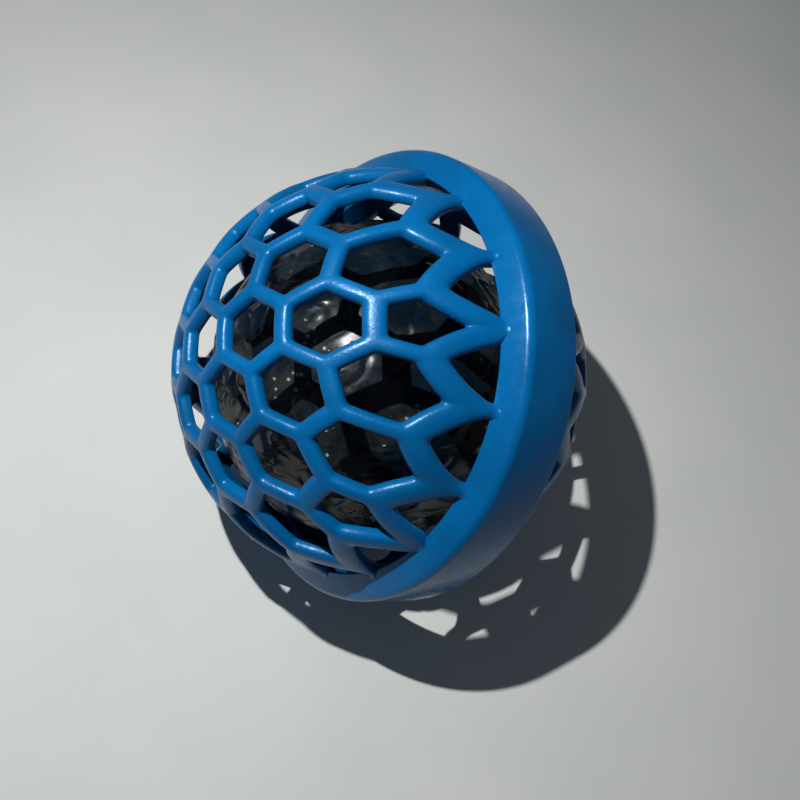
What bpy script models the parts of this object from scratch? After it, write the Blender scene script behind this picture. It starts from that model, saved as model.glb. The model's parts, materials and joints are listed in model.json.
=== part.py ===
"""Backpack washing ball: two openwork cage halves that screw together round a loose sticky ball.

Everything is in metres. The ball is drawn closed, with the front half's pole up (+Z) and its
middle plane at Z = 0. An empty then lays it on the table as it comes to rest, a window of its
back dome facing down.
"""

import math

import bmesh
import bpy
from mathutils import Matrix, Vector, noise

# Sizes of both moulded domes
CAGE_RADIUS = 0.0276            # outside of the domes
RIB_DEPTH = 0.0011              # thickness of the openwork wall
RIB_WIDTH = 0.0021              # seen along the ball's axis
RIB_CROWN = 0.0003              # how far a rib's edges lie below its crown
WINDOW_INSET = 0.00115          # the windows stop this far inside the dome's outline
BORDER_DEPTH = 0.00228          # depth of the row of triangular windows beside the band
BORDER_TURN = math.radians(9)   # a corner cell's outer junctions stand this far to each side
TIP_REACH = 0.0009              # a corner cell's tip runs on this far under the shoulder
ROOT_DEPTH = 0.0008             # how far a rib's end runs on into the ring that carries it
RIB_FACET = 0.0014              # a rib's faces longer than this are halved, to follow the dome

# Sizes of the band round the front half
BAND_STEP = 0.0024              # how far the band stands proud of the dome
BAND_WALL = 0.0017
BAND_FRONT = 0.0040             # its front edge, ahead of the middle plane
BAND_BACK = 0.0038              # its back rim, behind the middle plane
SHOULDER_RISE = 0.00125         # the shoulder's slope, from the front edge up to the windows
EDGE_ROUND = 0.0008
RIM_CHAMFER = 0.0003

# Sizes of the back half's neck and of the screw thread
NECK_FRONT = 0.0024             # the neck's mouth, ahead of the middle plane
COLLAR_HEIGHT = 0.0014          # plain collar that closes the band's back end
NECK_WALL = 0.0013
THREAD_HEIGHT = 0.0010
THREAD_LEAD = 0.0105            # travel in one turn
THREAD_STARTS = 3
THREAD_FOOT = 0.0016            # width of a thread ridge at its foot
THREAD_CREST = 0.0009
THREAD_MARGIN = 0.0006          # plain neck beyond the ends of the thread

# Running and seating gaps
THREAD_GAP = 0.0003
SEAT_GAP = 0.0003
COLLAR_GAP = 0.0003
BALL_GAP = 0.0003

# The sticky ball, and how it and the two patterns lie
BALL_PLAY = 0.0044              # the chamber's radius less the ball's
BALL_LUMPS = 0.0005             # depth of the hollows in the gel
LUMP_SIZE = 0.0086              # across one hollow
BALL_DROP = math.radians(13.5)  # the side to which it has rolled: behind the middle plane
BALL_SWING = math.radians(-16.6)  # and round the axis, from the lowest side
FRONT_TURN = math.radians(-18)  # turn of a half's pattern about the axis
BACK_TURN = math.radians(-19.5)   # a window of the back dome faces the table
AXIS_RISE = math.radians(32.95)   # and is flat on it when the axis rises this far

# Fineness of the turned and rounded surfaces
TURN_STEPS = 72
ROUND_STEPS = 3

# What follows from the sizes
INNER_RADIUS = CAGE_RADIUS - RIB_DEPTH
BAND_RADIUS = CAGE_RADIUS + BAND_STEP
BORE_RADIUS = BAND_RADIUS - BAND_WALL
WINDOW_RADIUS = CAGE_RADIUS - WINDOW_INSET
JUNCTION_RADIUS = WINDOW_RADIUS - BORDER_DEPTH
NECK_RADIUS = BORE_RADIUS - THREAD_GAP - THREAD_HEIGHT
NECK_BORE = NECK_RADIUS - NECK_WALL
COLLAR_RADIUS = BORE_RADIUS - COLLAR_GAP
COLLAR_FRONT = COLLAR_HEIGHT - BAND_BACK
SEAT_HEIGHT = NECK_FRONT + SEAT_GAP
SHOULDER_HEIGHT = BAND_FRONT + SHOULDER_RISE
THREAD_LOW = COLLAR_FRONT + THREAD_MARGIN
THREAD_TOP = NECK_FRONT - THREAD_MARGIN
BALL_RADIUS = INNER_RADIUS - BALL_PLAY

# The sticky ball sinks until it meets the back dome or the inside of the neck
BALL_OFFSET = min(BALL_PLAY, (NECK_BORE - BALL_RADIUS) / math.cos(BALL_DROP)) - BALL_GAP

# The honeycomb: a pole cell and three rings, whose outer vertices are drawn in to two circles
CELL_RINGS = 3
SECTOR = math.pi / 3
JUNCTION_REACH = 5.07           # from the pole to the outer junctions, in cell sides
BEYOND_JUNCTIONS = 5.4          # a regular cell's vertices past this become the ribs' ends
BEFORE_JUNCTIONS = 4.9
CELL_SIDE = JUNCTION_RADIUS / JUNCTION_REACH
END_TURN = (BORDER_TURN + SECTOR / 2) / 2

# The corners of the lowest window lie on the table, one cell side from the window's middle
REST_HEIGHT = math.sqrt(CAGE_RADIUS**2 - CELL_SIDE**2)


def clear_scene():
    for obj in list(bpy.data.objects):
        bpy.data.objects.remove(obj, do_unlink=True)


def new_collection(name):
    collection = bpy.data.collections.new(name)
    bpy.context.scene.collection.children.link(collection)
    return collection


def new_material(name, color, roughness):
    material = bpy.data.materials.new(name)
    material.use_nodes = True
    shader = material.node_tree.nodes["Principled BSDF"]
    shader.inputs["Base Color"].default_value = (*color, 1)
    shader.inputs["Roughness"].default_value = roughness
    shader.inputs["Metallic"].default_value = 0
    material.diffuse_color = (*color, 1)
    return material


def new_object(name, bm, collection):
    mesh = bpy.data.meshes.new(name)
    bm.to_mesh(mesh)
    bm.free()
    obj = bpy.data.objects.new(name, mesh)
    collection.objects.link(obj)
    return obj


def new_helper(name, bm):
    """A shape that a Boolean joins to a part, so it isn't rendered itself."""
    obj = new_object(name, bm, helpers)
    obj.hide_render = True
    obj.display_type = "WIRE"
    return obj


def join(obj, *others):
    """Unites a part with its helpers, which then follow it."""
    for other in others:
        other.parent = obj
        union = obj.modifiers.new("join_" + other.name, "BOOLEAN")
        union.operation = "UNION"
        union.object = other


def finish(obj, material, parent):
    obj.data.materials.clear()
    obj.data.materials.append(material)
    obj.data.shade_smooth()
    obj.data.set_sharp_from_angle(angle=math.radians(35))
    obj.parent = parent


def cell_centres():
    """Centres of the pole cell and of the rings round it, a row of cells lying along X."""
    spacing = math.sqrt(3) * CELL_SIDE
    for row in range(-CELL_RINGS, CELL_RINGS + 1):
        first = max(-CELL_RINGS, -CELL_RINGS - row)
        last = min(CELL_RINGS, CELL_RINGS - row)
        for column in range(first, last + 1):
            yield Vector((column + row / 2, row * math.sqrt(3) / 2, 0)) * spacing


def draw_in(vertex):
    """Moves a vertex of the outer ring onto the circle of junctions or of the ribs' ends."""
    reach = vertex.co.length / CELL_SIDE
    if reach < BEFORE_JUNCTIONS:
        return
    azimuth = math.atan2(vertex.co.y, vertex.co.x)
    sector = round(azimuth / SECTOR) * SECTOR
    side = math.copysign(1, azimuth - sector)
    aside = abs(azimuth - sector)
    radius = JUNCTION_RADIUS
    if reach > BEYOND_JUNCTIONS:
        tip = aside < BORDER_TURN
        radius = WINDOW_RADIUS + (TIP_REACH if tip else 0)
        aside = 0 if tip else END_TURN
    elif aside < END_TURN:
        aside = BORDER_TURN
    turn = sector + side * aside
    vertex.co = Vector((math.cos(turn), math.sin(turn), 0)) * radius


def rib_plan(root_radius):
    """The openwork seen along the axis: a flat sheet of ribs, whose ends reach root_radius."""
    bm = bmesh.new()
    for centre in cell_centres():
        bmesh.ops.create_circle(
            bm, cap_ends=True, segments=6, radius=CELL_SIDE, matrix=Matrix.Translation(centre)
        )
    bmesh.ops.remove_doubles(bm, verts=bm.verts, dist=CELL_SIDE / 10)
    for vertex in bm.verts:
        draw_in(vertex)
    bmesh.ops.remove_doubles(bm, verts=bm.verts, dist=CELL_SIDE / 10)

    # The outline pushed outwards gives the border windows, two quads to each
    border = [edge for edge in bm.edges if edge.is_boundary]
    pushed = bmesh.ops.extrude_edge_only(bm, edges=border)["geom"]
    outer = [item for item in pushed if isinstance(item, bmesh.types.BMVert)]
    for vertex in outer:
        vertex.co = vertex.co.normalized() * (root_radius + RIB_WIDTH / 2)
    halves = []
    for vertex in bm.verts:
        if abs(vertex.co.length - JUNCTION_RADIUS) < WINDOW_INSET / 10:
            halves += [e for e in vertex.link_edges if e.other_vert(vertex) in outer]
    bmesh.ops.dissolve_edges(bm, edges=halves, use_verts=False)

    # Each window stands half a rib's width inside its cell
    windows = bm.faces[:]
    bmesh.ops.inset_individual(
        bm, faces=windows, thickness=RIB_WIDTH / 2, use_even_offset=True
    )
    beyond = [
        face
        for face in bm.faces
        if face not in windows
        and min(vertex.co.length for vertex in face.verts) > root_radius - ROOT_DEPTH / 2
    ]
    bmesh.ops.delete(bm, geom=windows + beyond, context="FACES")
    for vertex in bm.verts:
        if vertex.co.length > root_radius:
            vertex.co = vertex.co.normalized() * root_radius
    along = [edge for edge in bm.edges if edge.calc_length() > RIB_FACET]
    bmesh.ops.subdivide_edges(bm, edges=along, cuts=1, use_grid_fill=True)
    return bm


def other_side(sphere_radius, side):
    """The height on a sphere at a radius from the axis, or the radius at a height."""
    return math.sqrt(sphere_radius**2 - side**2)


def dome_ribs(root_height):
    """The ribs raised to the dome's wall, with window walls that point at its centre."""
    bm = rib_plan(other_side(CAGE_RADIUS, root_height))
    under = bm.verts[:]
    raised = bmesh.ops.extrude_face_region(bm, geom=bm.faces[:])["geom"]
    above = [item for item in raised if isinstance(item, bmesh.types.BMVert)]
    edges_above = [v for v in above if any(e.other_vert(v) in under for e in v.link_edges)]
    for vertex in above:
        vertex.co.z = other_side(CAGE_RADIUS, vertex.co.length)
        if vertex in edges_above:
            vertex.co -= vertex.co.normalized() * RIB_CROWN
    for vertex in under:
        vertex.co.z = other_side(CAGE_RADIUS, vertex.co.length)
        vertex.co = vertex.co.normalized() * INNER_RADIUS
    bmesh.ops.recalc_face_normals(bm, faces=bm.faces)
    return bm


def rounded(corners):
    """A closed outline whose corners (radius, height, rounding) are replaced by arcs."""
    outline = []
    for index, (radius, height, rounding) in enumerate(corners):
        corner = Vector((radius, height))
        if not rounding:
            outline.append(corner)
            continue
        before = (Vector(corners[index - 1][:2]) - corner).normalized()
        after = (Vector(corners[(index + 1) % len(corners)][:2]) - corner).normalized()
        half = before.angle(after) / 2
        centre = corner + (before + after).normalized() * rounding / math.sin(half)
        start = corner + before * rounding / math.tan(half) - centre
        end = corner + after * rounding / math.tan(half) - centre
        for step in range(ROUND_STEPS + 1):
            outline.append(centre + start.lerp(end, step / ROUND_STEPS).normalized() * rounding)
    return outline


def turned(name, corners):
    """A ring turned about the axis from a closed outline, listed down its outer side first."""
    bm = bmesh.new()
    points = [bm.verts.new((point.x, 0, point.y)) for point in rounded(corners)]
    for point, following in zip(points, points[1:] + points[:1]):
        bm.edges.new((point, following))
    ring = new_helper(name, bm)
    screw = ring.modifiers.new("turn", "SCREW")
    screw.steps = TURN_STEPS
    screw.render_steps = TURN_STEPS
    screw.use_merge_vertices = True
    screw.merge_threshold = 0.00001
    return ring


def thread(name, wall_radius, crest_radius, turn):
    """Equal helical ridges on a wall, each thinned out at both ends."""
    sink = math.copysign(THREAD_GAP, wall_radius - crest_radius)
    rise = THREAD_TOP - THREAD_LOW - THREAD_FOOT
    step = 2 * math.pi / TURN_STEPS
    steps = max(2, round(rise / THREAD_LEAD * TURN_STEPS))
    section = (
        (wall_radius + sink, -THREAD_FOOT / 2),
        (crest_radius, -THREAD_CREST / 2),
        (crest_radius, THREAD_CREST / 2),
        (wall_radius + sink, THREAD_FOOT / 2),
    )
    bm = bmesh.new()
    for start in range(THREAD_STARTS):
        first = turn + start * 2 * math.pi / THREAD_STARTS
        corners = []
        for radius, height in section:
            middle = THREAD_LOW + THREAD_FOOT / 2
            corners.append(bm.verts.new((radius, 0, middle + height)))
        face = bm.faces.new(corners)
        bmesh.ops.rotate(bm, verts=corners, matrix=Matrix.Rotation(first, 3, "Z"))
        last = bmesh.ops.spin(
            bm,
            geom=[face],
            axis=(0, 0, 1),
            dvec=(0, 0, THREAD_LEAD / TURN_STEPS),
            angle=step * steps,
            steps=steps,
        )["geom_last"]
        ends = corners + [item for item in last if isinstance(item, bmesh.types.BMVert)]
        for vertex in ends:
            flat = vertex.co.xy
            if abs(flat.length - crest_radius) < THREAD_GAP / 10:
                flat = flat.normalized() * (wall_radius - sink / 2)
                vertex.co.xy = flat
    bmesh.ops.recalc_face_normals(bm, faces=bm.faces)
    return new_helper(name, bm)


def front_cage():
    """The half with the band: window ring, sloping shoulder, band and inside thread."""
    cage = new_object("front_cage", dome_ribs(SHOULDER_HEIGHT - ROOT_DEPTH), parts)
    ring = turned(
        "front_ring",
        (
            (WINDOW_RADIUS, SHOULDER_HEIGHT, 0),
            (BAND_RADIUS, BAND_FRONT, EDGE_ROUND),
            (BAND_RADIUS, RIM_CHAMFER - BAND_BACK, 0),
            (BAND_RADIUS - RIM_CHAMFER, -BAND_BACK, 0),
            (BORE_RADIUS + RIM_CHAMFER, -BAND_BACK, 0),
            (BORE_RADIUS, RIM_CHAMFER - BAND_BACK, 0),
            (BORE_RADIUS, SEAT_HEIGHT, 0),
            (WINDOW_RADIUS, SEAT_HEIGHT, 0),
        ),
    )
    ridges = thread("front_thread", BORE_RADIUS, NECK_RADIUS + THREAD_GAP, math.pi / THREAD_STARTS)
    join(cage, ring, ridges)
    return cage


def back_cage():
    """The half with the neck: window ring, collar, neck and outside thread."""
    bm = dome_ribs(BAND_BACK - ROOT_DEPTH)
    bmesh.ops.rotate(bm, verts=bm.verts, matrix=Matrix.Rotation(math.pi, 3, "X"))
    cage = new_object("back_cage", bm, parts)
    ring = turned(
        "back_ring",
        (
            (NECK_RADIUS, NECK_FRONT, 0),
            (NECK_RADIUS, COLLAR_FRONT, 0),
            (COLLAR_RADIUS, COLLAR_FRONT, 0),
            (COLLAR_RADIUS, RIM_CHAMFER - BAND_BACK, 0),
            (COLLAR_RADIUS - RIM_CHAMFER, -BAND_BACK, 0),
            (WINDOW_RADIUS, -BAND_BACK, 0),
            (NECK_BORE, -BAND_BACK / 2, 0),
            (NECK_BORE, NECK_FRONT, 0),
        ),
    )
    ridges = thread("back_thread", NECK_RADIUS, NECK_RADIUS + THREAD_HEIGHT, 0)
    join(cage, ring, ridges)
    return cage


def sticky_ball():
    """A solid gel ball with shallow hollows, lying in the closed cage."""
    bm = bmesh.new()
    bmesh.ops.create_icosphere(bm, subdivisions=4, radius=BALL_RADIUS)
    for vertex in bm.verts:
        hollow = (1 + noise.noise(vertex.co / LUMP_SIZE)) / 2
        vertex.co -= vertex.co.normalized() * BALL_LUMPS * hollow
    ball = new_object("sticky_ball", bm, parts)
    sideways = Vector((math.cos(BALL_SWING), math.sin(BALL_SWING), math.tan(BALL_DROP)))
    ball.location = -sideways.normalized() * BALL_OFFSET
    return ball


clear_scene()
parts = new_collection("washing_ball")
helpers = new_collection("joined_shapes")
blue = new_material("blue_polypropylene", (0.003, 0.19, 0.53), 0.32)
gel = new_material("black_gel", (0.006, 0.006, 0.007), 0.2)

lying = bpy.data.objects.new("lying_ball", None)
parts.objects.link(lying)
lying.location = (0, 0, REST_HEIGHT)
lying.rotation_euler = (0, AXIS_RISE - math.pi / 2, 0)

front = front_cage()
front.rotation_euler.z = FRONT_TURN
back = back_cage()
back.rotation_euler.z = BACK_TURN
for half in (front, back):
    finish(half, blue, lying)
finish(sticky_ball(), gel, lying)
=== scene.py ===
# %% [markdown]
# A backpack washing ball: an openwork plastic ball, screwed together from two moulded halves, with
# a sticky black gel ball loose inside that picks up dust and crumbs. The solid model is loaded
# first as a fixed frame. Every piece made here is drawn in the same metres, stands where its solid
# stands and moves with the same body.

# %% Load the frame
import json
import math

import bmesh
import bpy
from mathutils import Matrix, Vector, noise


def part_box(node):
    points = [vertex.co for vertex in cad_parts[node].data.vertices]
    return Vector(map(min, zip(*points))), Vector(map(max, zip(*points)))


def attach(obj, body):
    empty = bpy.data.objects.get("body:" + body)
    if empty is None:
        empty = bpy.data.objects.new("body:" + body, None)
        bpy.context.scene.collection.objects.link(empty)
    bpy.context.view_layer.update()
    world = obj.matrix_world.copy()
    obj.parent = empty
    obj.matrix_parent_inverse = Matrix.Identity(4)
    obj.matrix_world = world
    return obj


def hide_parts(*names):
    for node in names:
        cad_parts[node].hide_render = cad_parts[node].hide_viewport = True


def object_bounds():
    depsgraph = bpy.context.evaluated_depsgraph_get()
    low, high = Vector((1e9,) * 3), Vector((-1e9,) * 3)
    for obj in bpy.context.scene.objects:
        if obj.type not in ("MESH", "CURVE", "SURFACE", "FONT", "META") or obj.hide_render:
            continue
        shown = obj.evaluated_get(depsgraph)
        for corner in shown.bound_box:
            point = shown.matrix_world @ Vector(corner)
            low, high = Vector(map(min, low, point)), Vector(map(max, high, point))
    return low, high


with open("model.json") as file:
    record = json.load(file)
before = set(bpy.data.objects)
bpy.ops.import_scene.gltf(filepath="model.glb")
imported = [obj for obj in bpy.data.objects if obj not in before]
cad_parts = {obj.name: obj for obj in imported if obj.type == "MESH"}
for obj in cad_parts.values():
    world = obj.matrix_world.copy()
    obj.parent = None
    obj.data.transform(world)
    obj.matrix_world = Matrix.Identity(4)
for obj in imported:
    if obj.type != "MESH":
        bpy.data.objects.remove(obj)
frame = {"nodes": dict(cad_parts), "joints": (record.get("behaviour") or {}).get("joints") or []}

cad_low, cad_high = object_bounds()
MM = 0.001
print("frame:", sorted(frame["nodes"]), [round(side / MM, 1) for side in cad_high - cad_low], "mm")

# %% [markdown]
# The ball lies on its side on a table. All its turned forms share one axis, the axis of the screw
# thread, so each piece is drawn standing up on that axis and laid down at the end with one matrix.
# The frame gives the matrix: the hinge of the thread holds the ball's centre and the axis, and half
# of the model's width is the radius of the band.

# %% Sizes from the frame
thread_hinge = next(joint for joint in frame["joints"] if joint["type"] == "hinge")
CENTRE = Vector(thread_hinge["pos_m"])
AXIS_RISE = math.asin(Vector(thread_hinge["axis"]).normalized().z)
LYING = Matrix.Translation(CENTRE) @ Matrix.Rotation(AXIS_RISE - math.pi / 2, 4, "Y")
BAND_RADIUS = (cad_high.y - cad_low.y) / 2
print(f"centre {CENTRE.z / MM:.2f} mm up, axis {math.degrees(AXIS_RISE):.1f} degrees up")
print(f"band radius {BAND_RADIUS / MM:.2f} mm")

# %% [markdown]
# Materials are small node trees. One helper sets or links a node's sockets, one adds a node, and
# one turns a colour written as sRGB hex into the linear values that Blender's shaders use.

# %% Material helpers
def linear(hex_colour):
    """An sRGB hex colour as linear RGBA."""
    values = [int(hex_colour[i:i + 2], 16) / 255 for i in (1, 3, 5)]
    return [v / 12.92 if v <= 0.04045 else ((v + 0.055) / 1.055) ** 2.4 for v in values] + [1]


def set_sockets(material, node, **sockets):
    """Gives input sockets, by name or _number, a value or a link from an output socket."""
    for name, value in sockets.items():
        socket = node.inputs[int(name[1:]) if name[0] == "_" else name.replace("_", " ")]
        if isinstance(value, bpy.types.NodeSocket):
            material.node_tree.links.new(value, socket)
        else:
            socket.default_value = value


def add_node(material, kind, settings=None, stops=(), **sockets):
    """Adds a node with its properties, a ramp's (position, hex colour) stops, and its sockets."""
    node = material.node_tree.nodes.new("ShaderNode" + kind)
    for name, value in (settings or {}).items():
        setattr(node, name, value)
    if stops:
        elements = node.color_ramp.elements
        while len(elements) < len(stops):
            elements.new(0.5)
        for element, (position, colour) in zip(elements, stops):
            element.position = position
            element.color = linear(colour)
    set_sockets(material, node, **sockets)
    return node


def new_finish(name):
    """A material, its Principled shader, and the socket with a point's place on the object."""
    material = bpy.data.materials.new(name)
    material.use_nodes = True
    shader = material.node_tree.nodes["Principled BSDF"]
    print("finish:", name)
    return material, shader, add_node(material, "TexCoord").outputs["Object"]


# %% [markdown]
# The cage is injection-moulded polypropylene, coloured through with a strong blue. It comes shiny
# from a polished mould, and the rings keep that shine. The ribs stand out and are rubbed dull by
# use, so they show the lamp as broad, waxy streaks along their crowns. The gloss has a cool tint,
# as the photograph shows it. Scuffs make it uneven, and the skin is slightly pitted. Real pits and
# scuffs are finer, and are drawn this coarse so that they show.

# %% Moulded blue polypropylene
FLOW_SIZE = 9 * MM                  # clouds of colour from the plastic's flow in the mould
SCUFF_SIZE = 1.2 * MM
PIT_SIZE = 0.45 * MM
PIT_DEPTH = 0.05 * MM


def moulded_blue(name, polished, scuffed, pitted):
    """Blue plastic, its roughness between two values, its skin more or less pitted."""
    material, shader, place = new_finish(name)
    flow = add_node(material, "TexNoise", Vector=place, Scale=1 / FLOW_SIZE, Detail=2.0)
    scuffs = add_node(
        material, "TexNoise", Vector=place, Scale=1 / SCUFF_SIZE, Detail=5.0, Roughness=0.65
    )
    pits = add_node(material, "TexNoise", Vector=place, Scale=1 / PIT_SIZE, Detail=3.0)
    tone = add_node(
        material, "ValToRGB", stops=((0.35, "#00568C"), (0.65, "#00609B")), Fac=flow.outputs[0]
    )
    gloss = add_node(
        material, "MapRange",
        Value=scuffs.outputs[0], From_Min=0.35, From_Max=0.7, To_Min=polished, To_Max=scuffed,
    )
    skin = add_node(material, "Bump", Height=pits.outputs[0], Strength=pitted, Distance=PIT_DEPTH)
    set_sockets(
        material, shader, Base_Color=tone.outputs[0], Roughness=gloss.outputs[0],
        Normal=skin.outputs[0], IOR=1.49, Specular_Tint=linear("#B9DCF8"),
    )
    return material


polished_blue = moulded_blue("blue_polypropylene_polished", 0.2, 0.33, 0.3)
rubbed_blue = moulded_blue("blue_polypropylene_rubbed", 0.27, 0.4, 0.7)

# %% [markdown]
# The ball inside is cast from a soft black gel. It is tacky: glossy where it is clean and dull grey
# in the patches where it holds dust. Large noise makes the patches and fine noise the specks in
# them, and the sum sets both the colour and the gloss.

# %% Black gel, clean and dusty
PATCH_SIZE = 7 * MM
SPECK_SIZE = 0.5 * MM
SPECK_SHARE = 0.2

black_gel, gel_shader, place = new_finish("black_cast_gel")
patches = add_node(
    black_gel, "TexNoise", Vector=place, Scale=1 / PATCH_SIZE, Detail=4.0, Roughness=0.6
)
specks = add_node(black_gel, "TexNoise", Vector=place, Scale=1 / SPECK_SIZE, Detail=3.0)
dust = add_node(
    black_gel, "Math", {"operation": "MULTIPLY_ADD"},
    _0=specks.outputs[0], _1=SPECK_SHARE, _2=patches.outputs[0],
)
dusty = add_node(
    black_gel, "ValToRGB", stops=((0.0, "#04101A"), (0.56, "#06131D"), (0.9, "#2A2E2C")),
    Fac=dust.outputs[0],
)
gloss = add_node(
    black_gel, "MapRange",
    Value=dust.outputs[0], From_Min=0.45, From_Max=0.75, To_Min=0.2, To_Max=0.4,
)
set_sockets(black_gel, gel_shader, Roughness=gloss.outputs[0], IOR=1.45)

# %% [markdown]
# Crumbs pressed into the gel stand up as small round beads, each of which gives the eye one sharp
# glint of the lamp. Their pale colour is partly the crumbs' own and partly a painted glint. The
# distance in a Voronoi pattern makes the beads, and they are kept only where the gel is dustiest.

# %% Crumbs in the gel
CRUMB_SPACING = 1.1 * MM
CRUMB_HEIGHT = 0.3 * MM

crumbs = add_node(black_gel, "TexVoronoi", Vector=place, Scale=1 / CRUMB_SPACING)
round_top = add_node(
    black_gel, "MapRange", {"interpolation_type": "SMOOTHSTEP"},
    Value=crumbs.outputs["Distance"], From_Min=0.1, From_Max=0.34, To_Min=1.0, To_Max=0.0,
)
held = add_node(
    black_gel, "MapRange",
    Value=patches.outputs[0], From_Min=0.575, From_Max=0.61, To_Min=0.0, To_Max=1.0,
)
beads = add_node(
    black_gel, "Math", {"operation": "MULTIPLY"}, _0=round_top.outputs[0], _1=held.outputs[0]
)
# The beads are painted pale: partly crumbs, partly a painted glint.
crumbs_and_painted_glints = add_node(
    black_gel, "Mix", {"data_type": "RGBA"},
    Factor=beads.outputs[0], _6=dusty.outputs[0], _7=linear("#A6A8A0"),
)
set_sockets(black_gel, gel_shader, Base_Color=crumbs_and_painted_glints.outputs[2])

# %% [markdown]
# The gel's skin is wrinkled like thin film. A ridged noise, drawn out in one direction, gives the
# folds, and the beads are raised from them with a second Bump node.

# %% Folds in the gel's skin
FOLD_SIZE = 5 * MM
FOLD_DEPTH = 0.4 * MM
FOLD_TURN = (0.5, 0.3, 0.9)         # no axis of the folds is one of the ball's
FOLD_STRETCH = (1.0, 2.5, 2.5)

drawn_out = add_node(black_gel, "Mapping", Vector=place, Rotation=FOLD_TURN, Scale=FOLD_STRETCH)
film = add_node(
    black_gel, "TexNoise", {"noise_type": "RIDGED_MULTIFRACTAL"}, Vector=drawn_out.outputs[0],
    Scale=1 / FOLD_SIZE, Detail=3.0, Roughness=0.55, Distortion=0.1,
)
folded = add_node(black_gel, "Bump", Height=film.outputs[0], Strength=1.0, Distance=FOLD_DEPTH)
beaded = add_node(
    black_gel, "Bump",
    Height=beads.outputs[0], Strength=1.0, Distance=CRUMB_HEIGHT, Normal=folded.outputs[0],
)
set_sockets(black_gel, gel_shader, Normal=beaded.outputs[0])
print(black_gel.name, "has", len(black_gel.node_tree.nodes), "nodes")

# %% [markdown]
# A few short helpers serve every piece. One makes an object from a bmesh, one evaluates modifiers
# into a new bmesh, so that the result can be shaped further, and one lays a finished piece down
# with the ball, with its place in its mesh, and lets it ride on its body.

# %% Object helpers
def add_object(name, data):
    """A new object in the scene."""
    item = bpy.data.objects.new(name, data)
    bpy.context.collection.objects.link(item)
    return item


def mesh_object(name, bm):
    """A new object in the scene, with the bmesh as its mesh. The bmesh is freed."""
    mesh = bpy.data.meshes.new(name)
    bm.to_mesh(mesh)
    bm.free()
    return add_object(name, mesh)


def evaluated(bm, *modifiers):
    """The bmesh after some modifiers, given as (type, settings)."""
    draft = mesh_object("draft", bm)
    for kind, settings in modifiers:
        modifier = draft.modifiers.new(kind.lower(), kind)
        for name, value in settings.items():
            setattr(modifier, name, value)
    result = bmesh.new()
    result.from_object(draft, bpy.context.evaluated_depsgraph_get())
    mesh = draft.data
    bpy.data.objects.remove(draft)
    bpy.data.meshes.remove(mesh)
    return result


def new_piece(name, bm, finish, body, sharp=None):
    """An object at the origin that rides on a body, its mesh laid down with the ball."""
    bmesh.ops.transform(bm, matrix=LYING, verts=bm.verts)
    piece = mesh_object(name, bm)
    mesh = piece.data
    mesh.materials.append(finish)
    mesh.shade_smooth()
    if sharp:
        mesh.set_sharp_from_angle(angle=sharp)
    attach(piece, body)
    mesh.calc_loop_triangles()
    print(name, len(mesh.loop_triangles), "triangles")
    return piece


# %% [markdown]
# The other sizes were measured in the photograph, at the scale that the band gives. Heights count
# from the middle plane between the halves, with the front half's pole up.

# %% Sizes of the domes and the band
BAND_STEP = 2.4 * MM                # how far the band stands proud of the dome
BAND_FRONT = 4.0 * MM               # its front edge, ahead of the middle plane
BAND_BACK = 3.8 * MM                # its back rim, behind the middle plane
SHOULDER_RISE = 1.25 * MM           # the slope from the front edge up to the windows
WINDOW_INSET = 1.15 * MM            # the windows stop this far inside the dome's outline

CAGE_RADIUS = BAND_RADIUS - BAND_STEP
WINDOW_RADIUS = CAGE_RADIUS - WINDOW_INSET
SHOULDER_HEIGHT = BAND_FRONT + SHOULDER_RISE
SHOULDER_SLOPE = SHOULDER_RISE / (BAND_RADIUS - WINDOW_RADIUS)
print(f"dome radius {CAGE_RADIUS / MM:.2f} mm, windows out to {WINDOW_RADIUS / MM:.2f} mm")

# %% [markdown]
# The honeycomb is the piece that takes the most skill. Seen along the axis its windows are regular
# hexagons, a pole cell and three rings round it. The outermost vertices are drawn in to two
# circles, so that the honeycomb ends in small triangles beside the band. It is drawn flat in this
# view, and the sheet is raised onto the dome later, which keeps every rib's width as seen along
# the axis.

# %% Sizes of the honeycomb
CELL_RINGS = 3
SECTOR = math.pi / 3
BORDER_DEPTH = 2.28 * MM            # depth of the row of triangles beside the band
BORDER_TURN = math.radians(9)       # a corner cell's outer junctions stand this far to each side
TIP_REACH = 0.9 * MM                # a corner cell's tip runs on this far under the shoulder
JUNCTION_REACH = 5.07               # from the pole to the outer junctions, in cell sides
BEYOND_JUNCTIONS = 5.4              # vertices further out than this become the ribs' ends
BEFORE_JUNCTIONS = 4.9

JUNCTION_RADIUS = WINDOW_RADIUS - BORDER_DEPTH
CELL_SIDE = JUNCTION_RADIUS / JUNCTION_REACH
END_TURN = (BORDER_TURN + SECTOR / 2) / 2
print(f"cell side {CELL_SIDE / MM:.2f} mm, outer junctions at {JUNCTION_RADIUS / MM:.2f} mm")

# %% Where the cells stand
def cell_centres():
    """The middles of the cells, row by row."""
    spacing = math.sqrt(3) * CELL_SIDE
    for row in range(-CELL_RINGS, CELL_RINGS + 1):
        first = max(-CELL_RINGS, -CELL_RINGS - row)
        last = min(CELL_RINGS, CELL_RINGS - row)
        for column in range(first, last + 1):
            yield Vector((column + row / 2, row * math.sqrt(3) / 2, 0)) * spacing


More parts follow.
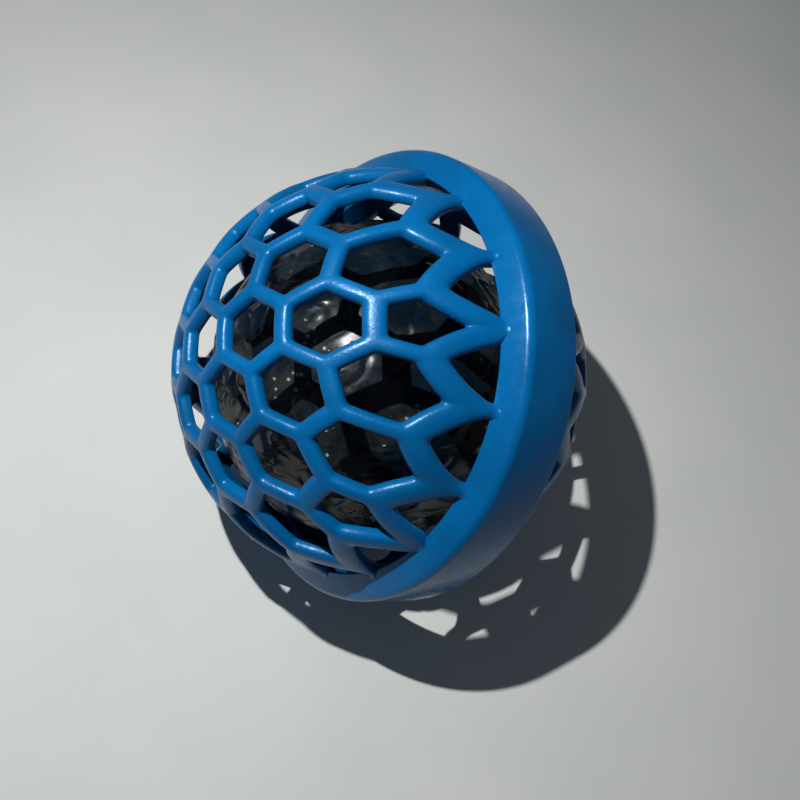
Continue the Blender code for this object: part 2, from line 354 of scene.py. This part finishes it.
def draw_in(vertex):
    """Moves a vertex of the outer row onto the circle of junctions or of the ribs' ends."""
    reach = vertex.co.length / CELL_SIDE
    if reach < BEFORE_JUNCTIONS:
        return
    azimuth = math.atan2(vertex.co.y, vertex.co.x)
    sector = round(azimuth / SECTOR) * SECTOR
    side = math.copysign(1, azimuth - sector)
    aside = abs(azimuth - sector)
    radius = JUNCTION_RADIUS
    if reach > BEYOND_JUNCTIONS:
        tip = aside < BORDER_TURN
        radius = WINDOW_RADIUS + (TIP_REACH if tip else 0)
        aside = 0 if tip else END_TURN
    elif aside < END_TURN:
        aside = BORDER_TURN
    turn = sector + side * aside
    vertex.co = Vector((math.cos(turn), math.sin(turn), 0)) * radius


print(len(list(cell_centres())), "cells")

# %% [markdown]
# The sheet starts as one disc for each cell, welded to its neighbours. Its outline is extruded for
# the row beside the band, and each new pair of faces between two ribs becomes one window.

# %% A sheet of cells
RIB_WIDTH = 1.95 * MM               # as seen along the ball's axis
RIB_OVERRUN = 1.95 * MM             # how far the ribs run on past the windows
PLAN_END = WINDOW_RADIUS + RIB_OVERRUN
WELD_REACH = CELL_SIDE / 10         # corners closer together than this are one junction
NEAR = 0.01 * MM                    # places closer together than this are one place


def verts_in(geometry):
    """The vertices among what a bmesh operator returned."""
    return [item for item in geometry if isinstance(item, bmesh.types.BMVert)]


def cell_sheet():
    """A flat sheet with a face for each window, drawn in at its border."""
    bm = bmesh.new()
    for centre in cell_centres():
        bmesh.ops.create_circle(
            bm, cap_ends=True, segments=6, radius=CELL_SIDE, matrix=Matrix.Translation(centre)
        )
    bmesh.ops.remove_doubles(bm, verts=bm.verts, dist=WELD_REACH)
    for vertex in bm.verts:
        draw_in(vertex)
    bmesh.ops.remove_doubles(bm, verts=bm.verts, dist=WELD_REACH)
    return bm


def add_border(bm):
    """Adds the windows beside the band, open towards it."""
    outline = [edge for edge in bm.edges if edge.is_boundary]
    outer = verts_in(bmesh.ops.extrude_edge_only(bm, edges=outline)["geom"])
    for vertex in outer:
        vertex.co = vertex.co.normalized() * (PLAN_END + RIB_WIDTH / 2)
    splits = [
        edge
        for vertex in bm.verts
        if abs(vertex.co.length - JUNCTION_RADIUS) < NEAR
        for edge in vertex.link_edges
        if edge.other_vert(vertex) in outer
    ]
    bmesh.ops.dissolve_edges(bm, edges=splits, use_verts=False)


print(f"ribs drawn out to {PLAN_END / MM:.2f} mm")

# %% [markdown]
# Every face is inset by half a rib in three steps, and what is left of it is the window. Each step
# lies further below the rib's crown than the last, which makes the rib's top round. The ribs'
# ends, which would stick out of the ring that hides them, are cut off.

# %% The plan of the ribs
RIB_DROPS = [0.015 * MM, 0.12 * MM, 0.54 * MM]      # the steps' depths below the crown
RIB_STEP = RIB_WIDTH / 2 / len(RIB_DROPS)
RIB_CUTS = 7                        # cuts across each rib, so that it follows the dome
HIDDEN_END = 0.3 * MM               # the last bit of a rib, inside its ring
PLAN_FOOT_END = PLAN_END - HIDDEN_END


def rib_plan():
    """A flat sheet of ribs. A layer holds how far each point lies below a rib's crown."""
    bm = cell_sheet()
    add_border(bm)
    windows = bm.faces[:]
    lengthways = set(bm.edges)
    drop = bm.verts.layers.float.new("drop")
    for depth in RIB_DROPS:
        bmesh.ops.inset_individual(bm, faces=windows, thickness=RIB_STEP, use_even_offset=True)
        lengthways |= {edge for face in windows for edge in face.edges}
        for vertex in {vertex for face in windows for vertex in face.verts}:
            vertex[drop] = depth
    beyond = [
        face
        for face in bm.faces
        if face not in windows and min(vertex.co.length for vertex in face.verts) > PLAN_FOOT_END
    ]
    bmesh.ops.delete(bm, geom=windows + beyond, context="FACES")
    for vertex in bm.verts:
        if vertex.co.length > PLAN_END:
            vertex.co = vertex.co.normalized() * PLAN_END
    bmesh.ops.subdivide_edges(
        bm, edges=[edge for edge in lengthways if edge.is_valid], cuts=RIB_CUTS, use_grid_fill=True
    )
    return bm


print(f"ribs {RIB_WIDTH / MM:.2f} mm wide, {2 * len(RIB_DROPS)} strips across")

# %% [markdown]
# Where a rib comes down to its ring it leaves the dome's sphere and runs out on the ring in a round
# foot: an arc that touches both the sphere and the ring, so that the foot fades into the ring. The
# arc's middle lies a foot's radius outside both, which gives its place, and the plan's radius
# between the arc's two ends is shared out along it.

# %% The outline of a rib and its foot
def other_side(hypotenuse, side):
    return math.sqrt(hypotenuse**2 - side**2)


def rib_profile(ring_height, slope, foot):
    """A function from a radius in the plan to a point of the ribs' outline and its normal."""
    # The arc's middle is where a line over the ring meets a circle round the dome.
    tilt = math.atan(slope)
    lift = ring_height + foot / math.cos(tilt) + WINDOW_RADIUS * slope
    square = 1 + slope**2
    reach = math.sqrt((lift * slope) ** 2 - square * (lift**2 - (CAGE_RADIUS + foot) ** 2))
    middle_radius = (lift * slope + reach) / square
    middle = Vector((middle_radius, lift - slope * middle_radius))
    first = -middle.normalized()
    last = Vector((-math.sin(tilt), -math.cos(tilt)))
    plan_start = -first.x * CAGE_RADIUS

    def outline(radius):
        if radius <= plan_start:
            point = Vector((radius, other_side(CAGE_RADIUS, radius)))
            return point, point.normalized()
        share = (radius - plan_start) / (PLAN_FOOT_END - plan_start)
        down = first.slerp(last, min(share, 1))
        beyond = max(radius - PLAN_FOOT_END, 0)     # the hidden end, which dips into the ring
        return middle + down * foot + Vector((beyond, -beyond * (slope + 1))), -down

    return outline


# %% [markdown]
# The sheet becomes a wall by extruding it: the upper side goes out to that outline, the lower side
# a rib's depth further in, and a Subdivision Surface rounds the edges as a mould does.

# %% The two domes
RIB_DEPTH = 1.6 * MM
FRONT_FOOT = 1.1 * MM               # the radius in which a rib runs out on the shoulder
BACK_FOOT = 0.4 * MM                # and on the collar
FRONT_TURN = math.radians(-18)      # the turn of a half's pattern about the axis
BACK_TURN = math.radians(-19.5)


def turn_about_axis(bm, turn):
    bmesh.ops.rotate(bm, verts=bm.verts, matrix=Matrix.Rotation(turn, 3, "Z"))


def dome_ribs(ring_height, slope, foot):
    """One half's openwork, standing up, its ribs rounded and their feet let into the ring."""
    bm = rib_plan()
    outline = rib_profile(ring_height, slope, foot)
    drop = bm.verts.layers.float["drop"]
    depths = [(vertex, RIB_DEPTH) for vertex in bm.verts]
    above = verts_in(bmesh.ops.extrude_face_region(bm, geom=bm.faces[:])["geom"])
    depths += [(vertex, vertex[drop]) for vertex in above]
    for vertex, depth in depths:
        point, normal = outline(vertex.co.xy.length)
        point -= normal * depth
        vertex.co = Vector((*vertex.co.xy.normalized() * point.x, point.y))
    bmesh.ops.recalc_face_normals(bm, faces=bm.faces)
    return evaluated(bm, ("SUBSURF", {"levels": 1, "render_levels": 1}))


bm = dome_ribs(SHOULDER_HEIGHT, SHOULDER_SLOPE, FRONT_FOOT)
turn_about_axis(bm, FRONT_TURN)
front_dome = new_piece("front_dome", bm, rubbed_blue, "front_half")
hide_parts("front_cage")

bm = dome_ribs(BAND_BACK, 0, BACK_FOOT)
bmesh.ops.rotate(bm, verts=bm.verts, matrix=Matrix.Rotation(math.pi, 3, "X"))
turn_about_axis(bm, BACK_TURN)
back_dome = new_piece("back_dome", bm, rubbed_blue, "back_half")
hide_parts("back_cage")

# %% [markdown]
# The band, the shoulder and the neck are turned forms: an outline with rounded corners goes once
# round the axis. The outline is a chain of edges, its corners are rounded with bmesh's bevel, and
# spin turns it.

# %% A turned ring
TURN_STEPS = 180
ROUND_STEPS = 6


def turned(corners):
    """A closed ring from an outline of (radius, height, rounding) corners."""
    bm = bmesh.new()
    points = [bm.verts.new((radius, 0, height)) for radius, height, _ in corners]
    for point, following in zip(points, points[1:] + points[:1]):
        bm.edges.new((point, following))
    for point, (_, _, rounding) in zip(points, corners):
        bmesh.ops.bevel(
            bm, geom=[point], offset=rounding, offset_type="OFFSET", segments=ROUND_STEPS,
            profile=0.5, affect="VERTICES", material=-1,
        )
    bmesh.ops.spin(
        bm, geom=bm.verts[:] + bm.edges[:], axis=(0, 0, 1), angle=2 * math.pi, steps=TURN_STEPS,
        use_merge=True,
    )
    bmesh.ops.remove_doubles(bm, verts=bm.verts, dist=NEAR)
    bmesh.ops.recalc_face_normals(bm, faces=bm.faces)
    return bm


print("one turn in", TURN_STEPS, "steps")

# %% [markdown]
# The halves screw into each other with a thread of three starts: ridges on the neck, and others
# between them inside the band. A ridge is one face that spin carries up and round. Its root is sunk
# into the wall, and the crest of its first and last section is let down to the wall, so that the
# ridge runs out as a moulded one does.

# %% Sizes of the neck and the thread
BAND_WALL = 1.7 * MM
NECK_FRONT = 2.4 * MM               # the neck's mouth, ahead of the middle plane
COLLAR_HEIGHT = 1.4 * MM            # the plain collar that closes the band's back end
NECK_WALL = 1.3 * MM
THREAD_HEIGHT = 1.0 * MM
THREAD_LEAD = 10.5 * MM             # travel in one turn
THREAD_STARTS = 3
THREAD_FOOT = 1.6 * MM              # a ridge's width at its foot
THREAD_CREST = 0.9 * MM
THREAD_MARGIN = 0.6 * MM            # plain neck beyond the ends of the thread
GAP = 0.3 * MM                      # the running gap between the halves

BORE_RADIUS = BAND_RADIUS - BAND_WALL
NECK_RADIUS = BORE_RADIUS - GAP - THREAD_HEIGHT
NECK_BORE = NECK_RADIUS - NECK_WALL
COLLAR_RADIUS = BORE_RADIUS - GAP
COLLAR_FRONT = COLLAR_HEIGHT - BAND_BACK
SEAT_HEIGHT = NECK_FRONT + GAP
THREAD_LOW = COLLAR_FRONT + THREAD_MARGIN
THREAD_TOP = NECK_FRONT - THREAD_MARGIN
print(f"neck {2 * NECK_RADIUS / MM:.1f} mm, thread {(THREAD_TOP - THREAD_LOW) / MM:.1f} mm high")

# %% Thread ridges
def add_thread(bm, wall_radius, crest_radius, turn):
    """Equal helical ridges on a wall, each thinned out at both ends."""
    sink = math.copysign(GAP, wall_radius - crest_radius)
    rise = THREAD_TOP - THREAD_LOW - THREAD_FOOT
    middle = THREAD_LOW + THREAD_FOOT / 2
    steps = round(rise / THREAD_LEAD * TURN_STEPS)
    section = (
        (wall_radius + sink, middle - THREAD_FOOT / 2),
        (crest_radius, middle - THREAD_CREST / 2),
        (crest_radius, middle + THREAD_CREST / 2),
        (wall_radius + sink, middle + THREAD_FOOT / 2),
    )
    for start in range(THREAD_STARTS):
        first = turn + start * 2 * math.pi / THREAD_STARTS
        corners = [bm.verts.new((radius, 0, height)) for radius, height in section]
        face = bm.faces.new(corners)
        bmesh.ops.rotate(bm, verts=corners, matrix=Matrix.Rotation(first, 3, "Z"))
        last = bmesh.ops.spin(
            bm, geom=[face], axis=(0, 0, 1), dvec=(0, 0, THREAD_LEAD / TURN_STEPS),
            angle=2 * math.pi * steps / TURN_STEPS, steps=steps,
        )["geom_last"]
        for vertex in corners + verts_in(last):
            if abs(vertex.co.xy.length - crest_radius) < NEAR:
                vertex.co.xy = vertex.co.xy.normalized() * (wall_radius - sink / 2)
    bmesh.ops.recalc_face_normals(bm, faces=bm.faces)


# %% [markdown]
# The front ring is the sloping shoulder and the wide band, with a step inside over the neck's
# mouth. The back ring is the collar that closes the band's back end, and the neck. The front
# ring's thread starts half a pitch on from the neck's, so that the ridges lie between each other.

# %% The band and the neck
EDGE_ROUND = 0.8 * MM
SMALL_ROUND = 0.25 * MM
SHARP_EDGE = math.radians(35)       # the thread's flanks meet at more than this and stay crisp

bm = turned(
    (
        (WINDOW_RADIUS, SHOULDER_HEIGHT, SMALL_ROUND),
        (BAND_RADIUS, BAND_FRONT, EDGE_ROUND),
        (BAND_RADIUS, -BAND_BACK, SMALL_ROUND),
        (BORE_RADIUS, -BAND_BACK, SMALL_ROUND),
        (BORE_RADIUS, SEAT_HEIGHT, SMALL_ROUND),
        (WINDOW_RADIUS, SEAT_HEIGHT, SMALL_ROUND),
    )
)
add_thread(bm, BORE_RADIUS, NECK_RADIUS + GAP, math.pi / THREAD_STARTS)
turn_about_axis(bm, FRONT_TURN)
new_piece("front_band", bm, polished_blue, "front_half", SHARP_EDGE)

bm = turned(
    (
        (NECK_RADIUS, NECK_FRONT, SMALL_ROUND),
        (NECK_RADIUS, COLLAR_FRONT, SMALL_ROUND),
        (COLLAR_RADIUS, COLLAR_FRONT, SMALL_ROUND),
        (COLLAR_RADIUS, -BAND_BACK, SMALL_ROUND),
        (WINDOW_RADIUS, -BAND_BACK, SMALL_ROUND),
        (NECK_BORE, -BAND_BACK / 2, SMALL_ROUND),
        (NECK_BORE, NECK_FRONT, SMALL_ROUND),
    )
)
add_thread(bm, NECK_RADIUS, NECK_RADIUS + THREAD_HEIGHT, 0)
turn_about_axis(bm, BACK_TURN)
new_piece("back_neck", bm, polished_blue, "back_half", SHARP_EDGE)

# %% [markdown]
# The gel ball is soft, and lying in the cage has pressed flats into it. The flats are spread over
# the ball on a spiral that turns by the golden angle, which keeps them evenly apart, and smooth
# noise then strays each of them and changes its depth.

# %% Flats on the sticky ball
ball_low, ball_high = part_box("sticky_ball")
BALL_CENTRE = (ball_low + ball_high) / 2
BALL_ROOM = 5.5 * MM                # the cage's radius less the ball's
BALL_RADIUS = CAGE_RADIUS - BALL_ROOM
GOLDEN_TURN = math.pi * (3 - math.sqrt(5))
FLATS = 64
FLAT_DEPTH = 0.75 * MM
DEPTH_SPREAD = 0.45                 # the share of a flat's depth that changes from flat to flat
DEPTH_WAVES = 5                     # waves of noise along the ball's radius
STRAY = 0.25                        # how far a flat strays, in radii
STRAY_WAVES = 3
STRAY_SEED = 2                      # without a seed, noise_vector differs from run to run

noise.seed_set(STRAY_SEED)
flats = []
for number in range(FLATS):
    rise = 1 - (2 * number + 1) / FLATS
    out = other_side(1, rise)
    azimuth = number * GOLDEN_TURN
    spiral = Vector((out * math.cos(azimuth), out * math.sin(azimuth), rise))
    facing = spiral + noise.noise_vector(spiral * STRAY_WAVES) * STRAY
    uneven = 1 - DEPTH_SPREAD + DEPTH_SPREAD * noise.noise(spiral * DEPTH_WAVES)
    flats.append((facing.normalized(), BALL_RADIUS - FLAT_DEPTH * uneven))
print(len(flats), f"flats on a ball of {2 * BALL_RADIUS / MM:.1f} mm")

# %% [markdown]
# Every flat is a plane that cuts a little off an icosphere. A smooth minimum of the planes leaves a
# soft crease between two flats. Thin grooves follow the lines where a smooth noise changes sign.

# %% The sticky ball
BALL_SUBDIVISIONS = 7
CREASE = 0.12 * MM                  # the softness of the creases
WIDEST = 0.85                       # cosine of the widest angle at which a flat still cuts
GROOVE_SPACING = 4 * MM
GROOVE_DEPTH = 0.2 * MM
GROOVE_STEEPNESS = 6                # the higher, the narrower

bm = bmesh.new()
bmesh.ops.create_icosphere(bm, subdivisions=BALL_SUBDIVISIONS, radius=BALL_RADIUS)
for vertex in bm.verts:
    outwards = vertex.co.normalized()
    total = 1.0
    for facing, distance in flats:
        cosine = outwards.dot(facing)
        if cosine > WIDEST:
            total += math.exp((BALL_RADIUS - distance / cosine) / CREASE)
    groove = max(0, 1 - GROOVE_STEEPNESS * abs(noise.noise(vertex.co / GROOVE_SPACING)))
    vertex.co -= outwards * (CREASE * math.log(total) + GROOVE_DEPTH * groove)
bmesh.ops.transform(bm, matrix=LYING.inverted() @ Matrix.Translation(BALL_CENTRE), verts=bm.verts)
gel_ball = new_piece("gel_ball", bm, black_gel, "loose_ball")
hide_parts("sticky_ball")

# %% [markdown]
# The ball lies on a plain pale table top, painted matt, with a faint mottle. It is only a stage for
# the ball, so one large face is enough.

# %% Table
MOTTLE_SIZE = 30 * MM
TABLE_REACH = 600 * MM

table_top, table_shader, place = new_finish("pale_matt_paint")
mottle = add_node(table_top, "TexNoise", Vector=place, Scale=1 / MOTTLE_SIZE, Detail=4.0)
pale = add_node(
    table_top, "ValToRGB", stops=((0.3, "#DEE1DC"), (0.7, "#E6E8E3")), Fac=mottle.outputs[0]
)
set_sockets(table_top, table_shader, Base_Color=pale.outputs[0], Roughness=0.85)
bm = bmesh.new()
bmesh.ops.create_grid(bm, x_segments=1, y_segments=1, size=TABLE_REACH)
table = mesh_object("table", bm)
table.data.materials.append(table_top)
print("table", 2 * TABLE_REACH, "m wide")

# %% [markdown]
# The light comes from one lamp high on the left, which throws the openwork's shadow to the right,
# and a dim pale world fills the shadow. The lamp's place was worked out from the outline of the
# shadow, and its size from the softness of the shadow's edge. The camera sees the world brighter
# than the ball does, so that no view has a dark background.

# %% Light
LAMP_PLACE = Vector((-42.3, 11.5, 156.7)) * MM
LAMP_SIZE = 2.5 * MM
LAMP_POWER = 0.8
ROOM_LIGHT = 0.09
ROOM_SEEN = 0.8

lamp_data = bpy.data.lights.new("lamp", "POINT")
lamp_data.shadow_soft_size = LAMP_SIZE / 2
lamp_data.energy = LAMP_POWER
lamp = add_object("lamp", lamp_data)
lamp.location = LAMP_PLACE

world = bpy.data.worlds.new("soft_room")
world.use_nodes = True
bpy.context.scene.world = world
backdrop = world.node_tree.nodes["Background"]
seen = add_node(world, "LightPath").outputs["Is Camera Ray"]
room = add_node(world, "MapRange", Value=seen, To_Min=ROOM_LIGHT, To_Max=ROOM_SEEN)
set_sockets(world, backdrop, Color=linear("#CAD6E8"), Strength=room.outputs[0])
print("lamp", round((LAMP_PLACE - CENTRE).length / MM), "mm from the ball's centre")

# %% [markdown]
# The camera stands where the photograph was taken from, in front of the table and looking down at
# it. Its place was worked out by matching the windows and the shadow.

# %% Camera
CAMERA_PLACE = Vector((-20.71, -50.53, 129.61)) * MM
LOOKS_AT = Vector((7.94, 8.34, 0)) * MM
CAMERA_ROLL = math.radians(15.98)
PICTURE = 800                       # pixels along the square picture
FOCAL_PIXELS = 850
CLOSEST = 5 * MM

camera_data = bpy.data.cameras.new("camera")
camera_data.lens = camera_data.sensor_width * FOCAL_PIXELS / PICTURE
camera_data.clip_start = CLOSEST
camera = add_object("camera", camera_data)
aim = (LOOKS_AT - CAMERA_PLACE).to_track_quat("-Z", "Y").to_matrix().to_4x4()
roll = Matrix.Rotation(CAMERA_ROLL, 4, "Z")
camera.matrix_world = Matrix.Translation(CAMERA_PLACE) @ aim @ roll
bpy.context.scene.camera = camera
bpy.context.scene.view_settings.view_transform = "Standard"
print("camera", round((CAMERA_PLACE - CENTRE).length / MM), "mm from the ball's centre")
